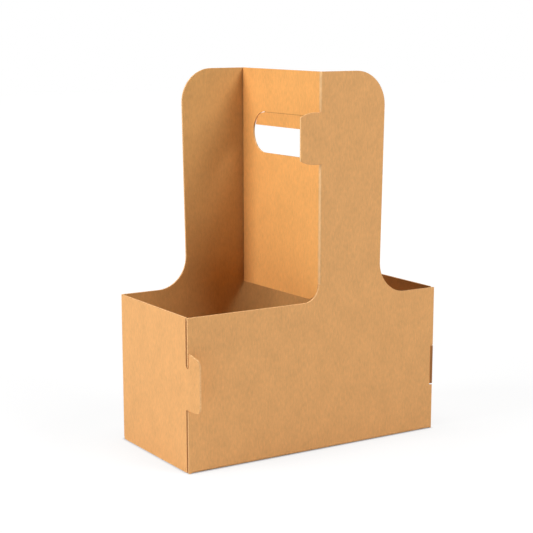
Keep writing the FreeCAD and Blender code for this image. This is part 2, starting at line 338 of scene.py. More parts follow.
class Blank:
    """The flat blank of the carrier: its regions, and the creases between them.

    Regions are numbered in the order in which they are drawn, so that all that turns with a
    crease has numbers in one run. The blank's upper face is the carrier's inner one.
    """

    BEND_ROWS = 8
    # Tones of the outer and the inner liner: 0 plain, 1 painted shade, 0.5 painted bounce light.
    OUTSIDE = (0.0, 1.0)
    DIVIDER_BOUNCE = (0.5, 0.5)
    # How much painted highlight a fold's outer liner gets, or how much painted shade where it lies
    # in a slit.
    FOLD_HIGHLIGHT = 0.4
    DIVIDER_FOLD_HIGHLIGHT = 1.0
    HINGE_SHADE = -0.75
    HEM_SHADE = -0.85

    def __init__(self, sizes: CarrierSizes) -> None:
        """Draw every panel.

        Args:
            sizes: Sizes of the folded carrier.
        """
        self.sizes = sizes
        self.regions: list[Region] = []
        self.creases: list[Crease] = []
        self.bend = sizes.crease + sizes.board / 2
        self.tones = self.OUTSIDE
        self.base = Layout(Vector((0.0, 0.0)), Vector((1.0, 0.0)), Vector((0.0, 1.0)))
        self.draw_base()
        self.draw_front()
        self.draw_rear()

    def add_region(self, layout: Layout, corners: list[Corner], rows: int = 1,
                   ridge: float = 0.0) -> None:
        """Add a region.

        Args:
            layout: Where the drawing lies on the blank.
            corners: Outline, as the folded panel has it.
            rows: Into how many rows a strip is divided, so that it can curve.
            ridge: How much painted highlight a strip's outer liner gets, or painted shade below 0.
        """
        self.regions.append(Region(len(self.regions), layout, corners, rows, self.tones, ridge))

    def fold(self, name: str, layout: Layout, runs: list[tuple[Point, Point]],
             reach: Vector, degrees: float, radius: float, ridge: float = FOLD_HIGHLIGHT) -> Crease:
        """Add a crease and the strips that curve along it.

        Args:
            name: What the fold is called.
            layout: Layout of the panel that carries the crease.
            runs: Both ends, in that panel's drawing, of each stretch of the crease.
            reach: Direction, in the drawing, of the panel that turns.
            degrees: How far it turns.
            radius: Radius of the board's middle layer.
            ridge: How much painted highlight the outer liner gets along it, or painted shade below
                0.

        Returns:
            The crease, before anything turns with it.
        """
        away = (layout.place(tuple(reach)) - layout.origin).normalized()
        strips = (len(self.regions), len(self.regions) + len(runs) - 1)
        crease = Crease(name, layout.place(runs[0][0]), away, degrees, radius, strips)
        for run in runs:
            one, two = (layout.place(end) for end in run)
            strip = Layout(one, (two - one).normalized(), away)
            width = (two - one).length
            self.add_region(strip, [
                Corner(0, 0), Corner(width, 0),
                Corner(width, crease.length), Corner(0, crease.length),
            ], self.BEND_ROWS, ridge)
        self.creases.append(crease)
        return crease

    def close(self, *creases: Crease) -> None:
        """Say that the latest region is the last one that turns with these creases."""
        for crease in creases:
            crease.last = len(self.regions) - 1

    def beyond(self, crease: Crease, parent: Layout, turned: Axis, start: float) -> Layout:
        """Lay out the panel beyond a crease.

        Args:
            crease: The crease that the panel hangs on.
            parent: Layout of the panel that carries the crease.
            turned: The coordinate that runs away from the crease.
            start: Value of that coordinate where the bend ends.

        Returns:
            The panel's layout, with its other coordinate as its parent has it.
        """
        edge = crease.start + crease.reach * crease.length
        along = parent.across if turned is Axis.UP else parent.up
        origin = edge - crease.reach * start - along * along.dot(edge - parent.origin)
        if turned is Axis.UP:
            return Layout(origin, along, crease.reach)
        return Layout(origin, crease.reach, along)

    def draw_base(self) -> None:
        """Draw the base, between the creases of the front and rear panels."""
        s = self.sizes
        y = s.front + s.fold
        self.add_region(self.base, [
            Corner(-s.base_right, y, joined=True), Corner(s.base_right, y),
            Corner(s.base_right, -y, joined=True), Corner(-s.base_right, -y),
        ])

    def draw_front(self) -> None:
        """Draw the front panel with the right handle panel and its tab, and the divider."""
        s = self.sizes
        y = s.front + s.fold
        lower = self.fold("Front fold", self.base, [((s.base_right, y), (-s.base_right, y))],
                          Vector((0, -1)), 90, self.bend)
        wall = self.beyond(lower, self.base, Axis.UP, s.fold)
        # Left of flat the panel bends into the divider, whose left face is at face.
        face = s.divider_shift - s.board / 2
        flat = face + s.fold
        tab = -s.board / 2 - s.tab_reach
        foot_half = s.front_half - s.handle_taper
        side = s.right - s.side_trim
        low_root, high_root = s.hole_bottom - s.tab_flare, s.hole_top + s.tab_flare
        # Both notches reach from foot to top, up from the floor at the left and down from the
        # rim at the right.
        notch = s.board + s.gap
        foot, top = s.hook_foot - s.gap, s.hook_foot + s.hook_root + 2 * s.gap
        crotch = s.rim + s.crotch
        self.add_region(wall, [
            Corner(s.left, 0), Corner(-s.base_right, 0),
            Corner(-s.base_right, s.fold, joined=True), Corner(s.base_right, s.fold),
            Corner(s.base_right, 0), Corner(side, 0),
            Corner(side, s.rim - top), Corner(s.right - s.hem_notch, s.rim - top),
            Corner(s.right - s.hem_notch, s.rim - foot), Corner(side, s.rim - foot),
            Corner(side, s.rim),
            Corner(foot_half + s.flare, s.rim, s.flare, Turn.RIGHT),
            Corner(foot_half, s.rim + s.flare),
            Corner(s.front_half, s.height - s.shoulder, s.shoulder, Turn.LEFT),
            Corner(s.front_half - s.shoulder, s.height),
            Corner(flat, s.height, joined=True), Corner(flat, high_root),
            Corner(face, high_root, s.tab_round, Turn.LEFT),
            Corner(tab, s.hole_top), Corner(tab, s.hole_bottom, s.tab_round, Turn.LEFT),
            Corner(face, low_root), Corner(flat, low_root, joined=True), Corner(flat, crotch),
            Corner(face, crotch, s.crotch, Turn.RIGHT),
            Corner(face - s.crotch, s.rim), Corner(s.left, s.rim),
            Corner(s.left, top), Corner(s.left + notch, top),
            Corner(s.left + notch, foot), Corner(s.left, foot),
        ])
        runs = [((flat, s.height), (flat, high_root)), ((flat, low_root), (flat, crotch))]
        edge = self.fold("Divider fold", wall, runs, Vector((-1, 0)), 90 - s.divider_turn,
                         self.bend, ridge=self.DIVIDER_FOLD_HIGHLIGHT)
        # The divider's tone paints warm bounce light into its colour.
        self.tones = self.DIVIDER_BOUNCE
        self.draw_divider(self.beyond(edge, wall, Axis.ACROSS, s.front + s.fold))
        self.tones = self.OUTSIDE
        self.close(lower, edge)

    def draw_divider(self, plate: Layout) -> None:
        """Draw the divider with its hand hole, and the flap that hangs from the hole's top edge.

        Args:
            plate: Layout of the divider, with depth as its first coordinate.
        """
        s = self.sizes
        edge = s.front + s.fold
        tab = s.front + s.tab_reach
        rear = s.rear - s.board - s.gap
        half = s.hole_height / 2
        bow = s.front + s.hole_reach - half
        low_root, high_root = s.hole_bottom - s.tab_flare, s.hole_top + s.tab_flare
        slit = tab + s.flap_slit
        self.add_region(plate, [
            Corner(edge + s.crotch, s.rim), Corner(rear, s.rim), Corner(rear, s.height),
            Corner(edge, s.height, joined=True),
            Corner(edge, high_root, s.tab_round, Turn.RIGHT),
            Corner(tab, s.hole_top), Corner(slit, s.hole_top, joined=True),
            Corner(bow, s.hole_top, half, Turn.RIGHT),
            Corner(bow + half, s.hole_top - half, half, Turn.RIGHT), Corner(bow, s.hole_bottom),
            Corner(tab, s.hole_bottom, s.tab_round, Turn.RIGHT),
            Corner(edge, low_root, joined=True),
            Corner(edge, s.rim + s.crotch, s.crotch, Turn.LEFT),
        ])
        hinge = self.fold("Hole flap", plate, [((slit, s.hole_top), (bow, s.hole_top))],
                          Vector((0, -1)), s.flap_tilt, s.hinge_bend, self.HINGE_SHADE)
        # The flap is drawn with its own height counted down from the hinge.
        flap = self.beyond(hinge, plate, Axis.UP, hinge.length)
        radius = half - s.flap_slit
        width = math.sqrt(radius ** 2 - (half - s.flap_drop) ** 2)
        self.add_region(flap, [
            Corner(slit, hinge.length), Corner(slit, s.flap_drop),
            Corner(bow + width, s.flap_drop, radius, Turn.RIGHT),
            Corner(bow, hinge.length, joined=True),
        ])
        self.close(hinge)

    def draw_rear(self) -> None:
        """Draw the rear panel with the left handle panel, its glue strip and both end panels."""
        s = self.sizes
        y = s.rear - s.fold
        lower = self.fold("Rear fold", self.base, [((-s.base_right, y), (s.base_right, y))],
                          Vector((0, 1)), 90, self.bend)
        wall = self.beyond(lower, self.base, Axis.UP, s.fold)
        left, right = s.left + s.fold, s.right - s.fold
        slope = math.tan(math.radians(s.divider_turn))
        # The strip lies on the divider's right face, and this is the strip's own right face.
        glue = s.divider_shift - slope * s.depth + 1.5 * s.board + s.glue_gap
        flat = glue - s.fold
        foot_half = s.rear_half - s.handle_taper
        crotch = s.rim + s.crotch
        self.add_region(wall, [
            Corner(-s.base_right, s.fold, joined=True), Corner(s.base_right, s.fold),
            Corner(right, s.fold, joined=True), Corner(right, s.rim),
            Corner(glue + s.crotch, s.rim, s.crotch, Turn.RIGHT),
            Corner(glue, crotch), Corner(flat, crotch, joined=True), Corner(flat, s.height),
            Corner(s.shoulder - s.rear_half, s.height, s.shoulder, Turn.LEFT),
            Corner(-s.rear_half, s.height - s.shoulder),
            Corner(-foot_half, s.rim + s.flare, s.flare, Turn.RIGHT),
            Corner(-foot_half - s.flare, s.rim),
            Corner(left, s.rim, joined=True), Corner(left, s.fold),
        ])
        strip = self.fold("Glue strip", wall, [((flat, crotch), (flat, s.height))],
                          Vector((1, 0)), 90 - s.divider_turn, self.bend)
        inner = self.beyond(strip, wall, Axis.ACROSS, -s.rear + s.fold)
        self.add_region(inner, [
            Corner(s.fold - s.rear, s.height, joined=True), Corner(s.fold - s.rear, crotch),
            Corner(s.glue_width - s.rear, crotch + s.glue_taper),
            Corner(s.glue_width - s.rear, s.height - s.glue_taper),
        ])
        self.close(strip)
        self.draw_left_end(wall, left)
        self.draw_right_end(wall, right)
        self.close(lower)

    def start_end(self, side: Side, wall: Layout, edge: float) -> tuple[Crease, Layout]:
        """Fold an end panel forward from the rear panel.

        It is drawn with depth counted forward, so its front edge has the larger number.

        Args:
            side: Which end it is.
            wall: Layout of the rear panel.
            edge: Where the crease lies along the rear panel.

        Returns:
            The panel's crease and its layout.
        """
        s = self.sizes
        crease = self.fold(f"{side.name.capitalize()} end", wall,
                           [((edge, s.fold), (edge, s.rim))], Vector((side.value, 0)), 90,
                           self.bend)
        return crease, self.beyond(crease, wall, Axis.ACROSS, s.fold - s.rear)

    def draw_left_end(self, wall: Layout, edge: float) -> None:
        """Draw the left end, with the hook that comes out through the front panel's notch.

        Args:
            wall: Layout of the rear panel.
            edge: Where the end's crease lies along it.
        """
        s = self.sizes
        crease, panel = self.start_end(Side.LEFT, wall, edge)
        front = -s.front - s.left_setback
        bend_line = -s.front + s.hook_crease
        slot = (s.left_setback + s.hook_slack) / 2
        root_top = s.hook_foot + s.hook_root
        tip_top = root_top + s.hook_rise
        self.add_region(panel, [
            Corner(s.fold - s.rear, s.rim, joined=True), Corner(s.fold - s.rear, s.fold),
            Corner(s.fold - s.rear, 0), Corner(front, 0),
            Corner(front, s.hook_foot), Corner(bend_line, s.hook_foot, joined=True),
            Corner(bend_line, tip_top), Corner(-s.front + s.hook_slack, tip_top),
            Corner(-s.front + s.hook_slack, root_top + slot, slot, Turn.RIGHT),
            Corner(front + slot, root_top, slot, Turn.RIGHT),
            Corner(front, root_top + slot), Corner(front, s.rim),
        ])
        bend = self.fold("Left hook", panel, [((bend_line, s.hook_foot), (bend_line, tip_top))],
                         Vector((1, 0)), s.hook_bend, s.board / 2)
        finger = self.beyond(bend, panel, Axis.ACROSS, bend.length)
        tip = s.hook_reach - s.hook_crease - s.hook_trim
        self.add_region(finger, [
            Corner(bend.length, tip_top, joined=True), Corner(bend.length, s.hook_foot),
            Corner(tip - s.hook_corner, s.hook_foot, s.hook_corner, Turn.LEFT),
            Corner(tip, s.hook_foot + s.hook_corner),
            Corner(tip, tip_top - s.hook_fall - s.hook_round, s.hook_round, Turn.LEFT),
            Corner(tip - s.hook_round, tip_top - s.hook_fall),
        ])
        self.close(bend, crease)

    def draw_right_end(self, wall: Layout, edge: float) -> None:
        """Draw the right end, with its upside-down hook folded back inside from the notch.

        Args:
            wall: Layout of the rear panel.
            edge: Where the end's crease lies along it.
        """
        s = self.sizes
        crease, panel = self.start_end(Side.RIGHT, wall, edge)
        front = -s.front - s.right_setback
        bend_line = -s.front - s.hem_depth
        root_top = s.rim - s.hook_foot
        root_foot = root_top - s.hook_root
        tip_foot = root_foot - s.hook_rise
        self.add_region(panel, [
            Corner(s.fold - s.rear, s.rim, joined=True), Corner(s.fold - s.rear, s.fold),
            Corner(s.fold - s.rear, 0), Corner(front, 0),
            Corner(front, root_foot), Corner(bend_line, root_foot, joined=True),
            Corner(bend_line, root_top), Corner(front, root_top), Corner(front, s.rim),
        ])
        bend = self.fold("Right hook", panel, [((bend_line, root_foot), (bend_line, root_top))],
                         Vector((1, 0)), 180, s.hem_bend, self.HEM_SHADE)
        finger = self.beyond(bend, panel, Axis.ACROSS, 0.0)
        slot, tip = s.hook_crease + s.hook_slack, s.hook_reach - s.hem_depth
        # The finger is drawn with its distance from the fold.
        self.add_region(finger, [
            Corner(0, root_top),
            Corner(tip - s.hook_corner, root_top, s.hook_corner, Turn.RIGHT),
            Corner(tip, root_top - s.hook_corner),
            Corner(tip, tip_foot + s.hook_fall + s.hook_round, s.hook_round, Turn.RIGHT),
            Corner(tip - s.hook_round, tip_foot + s.hook_fall),
            Corner(slot, tip_foot), Corner(slot, root_foot), Corner(0, root_foot, joined=True),
        ])
        self.close(bend, crease)


class BoardMesh:
    """Turns the blank's regions into one mesh of flat board with its true thickness."""

    # Rows at each side of a strip that get only a little painted highlight or shade, and how
    # little.
    HIGHLIGHT_MARGIN = 2
    HIGHLIGHT_SHARE = 0.15

    def __init__(self, blank: Blank) -> None:
        """Collect the points and faces of every region.

        Args:
            blank: The flat blank.
        """
        self.half = blank.sizes.board / 2
        self.points: list[tuple[float, float, float]] = []
        self.numbers: list[int] = []
        self.hinges: list[bool] = []
        self.faces: list[tuple[int, ...]] = []
        self.cut: list[float] = []
        self.bent: list[bool] = []
        self.tone: list[float] = []
        self.ridge: list[float] = []
        for region in blank.regions:
            if region.rows > 1:
                self.add_strip(region)
            else:
                self.add_panel(region)

    def add_point(self, region: Region, x: float, y: float, hinge: bool) -> tuple[int, int]:
        """Add a point on the lower and on the upper face.

        Args:
            region: The region that it belongs to.
            x: First coordinate in the region's drawing.
            y: Second coordinate.
            hinge: Whether it lies where a panel and a strip meet.

        Returns:
            Number of the lower point and of the upper one.
        """
        place = region.layout.place((x, y))
        for height in (-self.half, self.half):
            self.points.append((place.x * MM, place.y * MM, height * MM))
            self.numbers.append(region.number)
            self.hinges.append(hinge)
        return len(self.points) - 2, len(self.points) - 1

    def add_liner(self, corners: tuple[int, ...], region: Region, inner: bool,
                  painted_fold_light: float = 0.0) -> None:
        """Add a face of a liner.

        Args:
            corners: Its points.
            region: The region that it belongs to.
            inner: Whether it is the inner liner.
            painted_fold_light: How much painted highlight it gets, or painted shade below 0.
        """
        self.faces.append(corners)
        self.cut.append(0.0)
        self.bent.append(region.rows > 1)
        self.tone.append(region.tones[1 if inner else 0])
        self.ridge.append(painted_fold_light)

    def add_cut(self, corners: tuple[int, ...]) -> None:
        """Add a face of the cut edge."""
        self.faces.append(corners)
        self.cut.append(1.0)
        self.bent.append(False)
        self.tone.append(0.0)
        self.ridge.append(0.0)

    def add_panel(self, region: Region) -> None:
        """Add a flat panel: both liners, and a cut edge wherever it isn't joined.

        Args:
            region: The panel.
        """
        outline: list[Point] = []
        joined: list[bool] = []
        count = len(region.corners)
        for i, corner in enumerate(region.corners):
            run = side_points(corner, region.corners[(i + 1) % count])
            outline += run
            joined += [corner.joined] * len(run)
        if self.clockwise(region, outline):
            outline.reverse()
            # A side goes with its first point, so the last side stays the last.
            joined = joined[-2::-1] + joined[-1:]
        rings = []
        for i, (x, y) in enumerate(outline):
            rings.append(self.add_point(region, x, y, joined[i] or joined[i - 1]))
        self.add_liner(tuple(top for _, top in rings), region, True)
        self.add_liner(tuple(low for low, _ in reversed(rings)), region, False)
        for i, (low, top) in enumerate(rings):
            if joined[i]:
                continue
            next_low, next_top = rings[(i + 1) % len(rings)]
            self.add_cut((low, next_low, next_top, top))

    @staticmethod
    def clockwise(region: Region, outline: list[Point]) -> bool:
        """Tell whether an outline runs clockwise once it lies on the blank."""
        places = [region.layout.place(p) for p in outline]
        area = sum(a.cross(b) for a, b in zip(places, places[1:] + places[:1]))
        return area < 0

    def add_strip(self, region: Region) -> None:
        """Add the rows of a strip that will curve along its crease.

        Args:
            region: The strip, drawn with the crease along its first coordinate.
        """
        width, length = region.corners[2].x, region.corners[2].y
        way = -1 if self.clockwise(region, [(c.x, c.y) for c in region.corners]) else 1
        rows = []
        for i in range(region.rows + 1):
            hinge = i in (0, region.rows)
            y = length * i / region.rows
            rows.append([self.add_point(region, x, y, hinge) for x in (0.0, width)])
        for i, ((a, b), (c, d)) in enumerate(zip(rows, rows[1:])):
            middle = self.HIGHLIGHT_MARGIN <= i < region.rows - self.HIGHLIGHT_MARGIN
            # Painted highlight along the strip, or painted shade in a slit, weaker in the rows at
            # each side.
            painted_fold_light = region.ridge * (1.0 if middle else self.HIGHLIGHT_SHARE)
            self.add_liner((a[1], b[1], d[1], c[1])[::way], region, True)
            self.add_liner((a[0], c[0], d[0], b[0])[::way], region, False, painted_fold_light)
            self.add_cut((b[0], d[0], d[1], b[1])[::way])
            self.add_cut((a[0], a[1], c[1], c[0])[::way])

    def build(self, name: str) -> bpy.types.Object:
        """Make the object, with what the folding tree and the finishes read from it.

        Args:
            name: The object's name.

        Returns:
            The flat board.
        """
        mesh = bpy.data.meshes.new(name)
        mesh.from_pydata(self.points, [], self.faces)
        number = mesh.attributes.new("region", "INT", "POINT")
        number.data.foreach_set("value", self.numbers)
        hinge = mesh.attributes.new("hinge", "BOOLEAN", "POINT")
        hinge.data.foreach_set("value", self.hinges)
        for key, values in (("cut", self.cut), ("tone", self.tone), ("ridge", self.ridge)):
            kept = mesh.attributes.new(key, "FLOAT", "FACE")
            kept.data.foreach_set("value", values)
        flat = mesh.uv_layers.new(name="UVMap")
        for loop in mesh.loops:
            x, y, _ = self.points[loop.vertex_index]
            flat.data[loop.index].uv = (x, y)
        mesh.polygons.foreach_set("use_smooth", self.bent)
        mesh.update()
        made = bpy.data.objects.new(name, mesh)
        bpy.context.scene.collection.objects.link(made)
        return made


class NodeMaker:
    """Short names for making and linking the nodes of a tree."""

    def __init__(self, tree: bpy.types.NodeTree) -> None:
        """Keep the tree that the nodes go into."""
        self.tree = tree

    def node(self, kind: str, links: dict | None = None, **settings: object) -> bpy.types.Node:
        """Add a node.

        Args:
            kind: The node's type.
            links: Sockets or plain values by the name or index of the input they go to.
            settings: The node's own options.

        Returns:
            The node.
        """
        made = self.tree.nodes.new(kind)
        for key, value in settings.items():
            setattr(made, key, value)
        for key, value in (links or {}).items():
            if isinstance(value, bpy.types.NodeSocket):
                self.tree.links.new(value, made.inputs[key])
            else:
                made.inputs[key].default_value = value
        return made

    def maths(self, operation: str, *values: object) -> bpy.types.NodeSocket:
        """Add a sum of plain numbers and return its result."""
        node = self.node("ShaderNodeMath", dict(enumerate(values)), operation=operation)
        return node.outputs[0]

    def vector(self, operation: str, *values: object, out: str = "Vector") -> bpy.types.NodeSocket:
        """Add a sum of vectors and return its result."""
        node = self.node("ShaderNodeVectorMath", dict(enumerate(values)), operation=operation)
        return node.outputs[out]

    def scaled(self, vector: bpy.types.NodeSocket,
               factor: bpy.types.NodeSocket) -> bpy.types.NodeSocket:
        """Return a vector times a number."""
        node = self.node("ShaderNodeVectorMath", {"Vector": vector, "Scale": factor},
                         operation="SCALE")
        return node.outputs["Vector"]

    def attribute(self, name: str, kind: str) -> bpy.types.NodeSocket:
        """Return a named attribute of the mesh that the tree works on."""
        node = self.node("GeometryNodeInputNamedAttribute", {"Name": name}, data_type=kind)
        return node.outputs["Attribute"]

    def compare(self, operation: str, one: bpy.types.NodeSocket,
                two: bpy.types.NodeSocket) -> bpy.types.NodeSocket:
        """Compare two whole numbers and return whether it holds."""
        node = self.node("FunctionNodeCompare", {2: one, 3: two}, data_type="INT",
                         operation=operation)
        return node.outputs[0]


def crease_group() -> bpy.types.NodeTree:
    """Make the node group that folds one crease of the flat board.

    Within the strip the board follows a circle, and what lies beyond turns as one with its end.

    Returns:
        The group, with the crease's place, angle and radius as its inputs.
    """
    tree = bpy.data.node_groups.new("Crease", "GeometryNodeTree")
    inputs = {"Geometry": "Geometry", "Start": "Vector", "Reach": "Vector", "Angle": "Float",
              "Radius": "Float", "Length": "Float", "First strip": "Int", "Last strip": "Int",
              "Last region": "Int"}
    for name, kind in inputs.items():
        tree.interface.new_socket(name, in_out="INPUT", socket_type=f"NodeSocket{kind}")
    tree.interface.new_socket("Geometry", in_out="OUTPUT", socket_type="NodeSocketGeometry")
    nodes = NodeMaker(tree)
    given = nodes.node("NodeGroupInput").outputs
    number = nodes.attribute("region", "INT")
    turns = nodes.node("FunctionNodeBooleanMath", {
        0: nodes.compare("GREATER_EQUAL", number, given["First strip"]),
        1: nodes.compare("LESS_EQUAL", number, given["Last region"])}, operation="AND").outputs[0]
    carried = nodes.compare("GREATER_THAN", number, given["Last strip"])
    place = nodes.node("GeometryNodeInputPosition").outputs[0]
    height = nodes.node("ShaderNodeSeparateXYZ", {0: place}).outputs["Z"]
    away = nodes.vector("SUBTRACT", place, given["Start"])
    run = nodes.vector("DOT_PRODUCT", away, given["Reach"], out="Value")
    share = nodes.maths("DIVIDE", run, given["Length"])
    share = nodes.node("ShaderNodeClamp", {0: share}).outputs[0]
    share = nodes.maths("MAXIMUM", share, carried)
    angle = nodes.maths("MULTIPLY", share, given["Angle"])
    rest = nodes.maths("SUBTRACT", run, nodes.maths("MULTIPLY", share, given["Length"]))
    sine, cosine = nodes.maths("SINE", angle), nodes.maths("COSINE", angle)
    arm = nodes.maths("SUBTRACT", given["Radius"], height)
    new_run = nodes.maths("ADD", nodes.maths("MULTIPLY", arm, sine),
                          nodes.maths("MULTIPLY", rest, cosine))
    drop = nodes.maths("SUBTRACT", given["Radius"], nodes.maths("MULTIPLY", arm, cosine))
    new_height = nodes.maths("ADD", drop, nodes.maths("MULTIPLY", rest, sine))
    shift = nodes.scaled(given["Reach"], nodes.maths("SUBTRACT", new_run, run))
    lift = nodes.node("ShaderNodeCombineXYZ",
                      {"Z": nodes.maths("SUBTRACT", new_height, height)}).outputs[0]
    moved = nodes.node("GeometryNodeSetPosition", {
        "Geometry": given["Geometry"], "Selection": turns,
        "Offset": nodes.vector("ADD", shift, lift)}).outputs[0]
    nodes.node("NodeGroupOutput", {0: moved})
    return tree


class FoldingTree:
    """Node tree that folds the flat blank into the carrier."""

    WELD = 0.01 * MM

    def __init__(self, blank: Blank, coats: dict[Coat, bpy.types.Material]) -> None:
        """Chain the creases, outermost first, then weld the sheet and give it its coats.

        Args:
            blank: The flat blank, with its creases.
            coats: Material of the liners and of the cut edges.
        """
        self.tree = bpy.data.node_groups.new("FoldedBlank", "GeometryNodeTree")
        for way in ("INPUT", "OUTPUT"):
            self.tree.interface.new_socket("Geometry", in_out=way,
                                           socket_type="NodeSocketGeometry")
        self.values: dict[str, float] = {}
        for crease in blank.creases:
            self.add_input(f"{crease.name} angle", math.radians(crease.degrees))
            self.add_input(f"{crease.name} radius", crease.radius * MM)
        self.add_input("Board thickness", blank.sizes.board * MM)
        self.add_input("Crushed edge", 1.0)
        self.nodes = NodeMaker(self.tree)
        self.given = self.nodes.node("NodeGroupInput").outputs
        group = crease_group()
        sheet = self.given["Geometry"]
        for crease in reversed(blank.creases):
            sheet = self.fold(sheet, crease, group)
        self.nodes.node("NodeGroupOutput", {0: self.dress(self.weld(sheet), coats)})

    def add_input(self, name: str, value: float) -> None:
        """Add a named input, and keep its value."""
        self.tree.interface.new_socket(name, in_out="INPUT", socket_type="NodeSocketFloat")
        self.values[name] = value

    def fold(self, sheet: bpy.types.NodeSocket, crease: Crease,
             group: bpy.types.NodeTree) -> bpy.types.NodeSocket:
        """Fold one crease.

        Args:
            sheet: The board so far.
            crease: The crease that is folded.
            group: The group that folds it.

        Returns:
            The board after it.
        """
        angle = self.given[f"{crease.name} angle"]
        radius = self.given[f"{crease.name} radius"]
        folded = self.nodes.node("GeometryNodeGroup", {
            "Geometry": sheet,
            "Start": (crease.start.x * MM, crease.start.y * MM, 0.0),
            "Reach": (crease.reach.x, crease.reach.y, 0.0),
            "Angle": angle,
            "Radius": radius,
            "Length": self.nodes.maths("MULTIPLY", angle, radius),
            "First strip": crease.strips[0],
            "Last strip": crease.strips[1],
            "Last region": crease.last,
        }, node_tree=group)
        return folded.outputs["Geometry"]

    def weld(self, sheet: bpy.types.NodeSocket) -> bpy.types.NodeSocket:
        """Join the panels to their strips, and set the board on the floor.

        Args:
            sheet: The folded board, with its middle layer at height 0.

        Returns:
            The board as one closed sheet.
        """
        sheet = self.nodes.node("GeometryNodeMergeByDistance", {
            "Geometry": sheet, "Selection": self.nodes.attribute("hinge", "BOOLEAN"),
            "Distance": self.WELD}).outputs[0]
        lift = self.nodes.node("ShaderNodeCombineXYZ", {
            "Z": self.nodes.maths("DIVIDE", self.given["Board thickness"], 2.0)}).outputs[0]
        sheet = self.nodes.node("GeometryNodeSetPosition", {
            "Geometry": sheet, "Offset": lift}).outputs[0]
        return self.nodes.node("GeometryNodeRealizeInstances", {"Geometry": sheet}).outputs[0]

    def dress(self, sheet: bpy.types.NodeSocket,
              coats: dict[Coat, bpy.types.Material]) -> bpy.types.NodeSocket:
        """Give liners and cut edges their materials, and say which edges are crushed.

        Args:
            sheet: The closed sheet.
            coats: Material of the liners and of the cut edges.

        Returns:
            The dressed sheet.
        """
        nodes = self.nodes
        sheet = nodes.node("GeometryNodeSetMaterial", {
            "Geometry": sheet, "Material": coats[Coat.LINER]}).outputs[0]
        cut = nodes.attribute("cut", "FLOAT")
        # An edge between a liner and a cut face takes the mean of both, which is one half.
        off_half = nodes.maths("SUBTRACT", nodes.maths("MULTIPLY", cut, 2.0), 1.0)
        rim = nodes.maths("SUBTRACT", 1.0, nodes.maths("ABSOLUTE", off_half))
        sheet = nodes.node("GeometryNodeStoreNamedAttribute", {
            "Geometry": sheet, "Name": "bevel_weight_edge",
            "Value": nodes.maths("MULTIPLY", rim, self.given["Crushed edge"])},
            data_type="FLOAT", domain="EDGE").outputs[0]
        return nodes.node("GeometryNodeSetMaterial", {
            "Geometry": sheet, "Selection": nodes.maths("GREATER_THAN", cut, 0.5),
            "Material": coats[Coat.CUT]}).outputs[0]

    def apply(self, piece: bpy.types.Object) -> None:
        """Run the tree on an object and keep the result as its plain mesh.

        Args:
            piece: The flat board.
        """
        modifier = piece.modifiers.new("Folding", "NODES")
        modifier.node_group = self.tree
        for socket in self.tree.interface.items_tree:
            if socket.item_type == "SOCKET" and socket.name in self.values:
                modifier[socket.identifier] = self.values[socket.name]
        graph = bpy.context.evaluated_depsgraph_get()
        folded = bpy.data.meshes.new_from_object(piece.evaluated_get(graph), depsgraph=graph)
        piece.modifiers.clear()
        piece.data = folded


class PaperNodes(NodeMaker):
    """Nodes of a paper's material, round its shader."""

    def __init__(self, name: str, roughness: float, gloss: float) -> None:
        """Make the material and read the flat blank's coordinates.

        Args:
            name: The material's name.
            roughness: Roughness of the paper.
            gloss: How strongly it shines.
        """
        self.material = bpy.data.materials.new(name)
        self.material.use_nodes = True
        super().__init__(self.material.node_tree)
        self.shader = self.tree.nodes["Principled BSDF"]
        self.shader.inputs["Roughness"].default_value = roughness
        self.shader.inputs["Specular IOR Level"].default_value = gloss
        self.flat = self.node("ShaderNodeUVMap", uv_map="UVMap").outputs[0]

    def blend(self, share: bpy.types.NodeSocket, one: bpy.types.NodeSocket | Tone,
              two: Tone) -> bpy.types.NodeSocket:
        """Return a colour between two.

        Args:
            share: 0 for the first colour and 1 for the second.
            one: The first colour, plain or from a node.
            two: The second colour.

        Returns:
            The blended colour.
        """
        if isinstance(one, tuple):
            one = (*one, 1.0)
        return self.node("ShaderNodeMix", {"Factor": share, 6: one, 7: (*two, 1.0)},
                         data_type="RGBA").outputs[2]

    def face_value(self, name: str) -> bpy.types.NodeSocket:
        """Return a value that every face of the board holds."""
        return self.node("ShaderNodeAttribute", attribute_name=name).outputs["Fac"]

    def connect(self, name: str, value: bpy.types.NodeSocket) -> None:
        """Link a value to one of the shader's inputs."""
        self.tree.links.new(value, self.shader.inputs[name])


@dataclass(frozen=True)
class Mottle:
    """A noise in the paper, drawn out along the way in which its fibres lie.

    Args:
        scale: Number of its lumps on a metre.
        detail: Number of finer layers in it.
        draw: Scale along the fibres, as a share of the scale across them.
        strength: How much it lightens and darkens what it is added to.
    """

    scale: float
    detail: float
    draw: float
    strength: float

    ROUGHNESS = 0.6

    def build(self, nodes: PaperNodes) -> bpy.types.NodeSocket:
        """Return the noise, about zero and before its strength."""
        place = nodes.vector("MULTIPLY", nodes.flat, (1.0, self.draw, 1.0))
        made = nodes.node("ShaderNodeTexNoise", {
            "Vector": place, "Scale": self.scale, "Detail": self.detail,
            "Roughness": self.ROUGHNESS})
        return nodes.maths("SUBTRACT", made.outputs["Fac"], 0.5)

    def add_to(self, nodes: PaperNodes, value: bpy.types.NodeSocket | float,
               noise: bpy.types.NodeSocket) -> bpy.types.NodeSocket:
        """Return a value with the noise added at its strength."""
        return nodes.maths("ADD", value, nodes.maths("MULTIPLY", noise, self.strength))


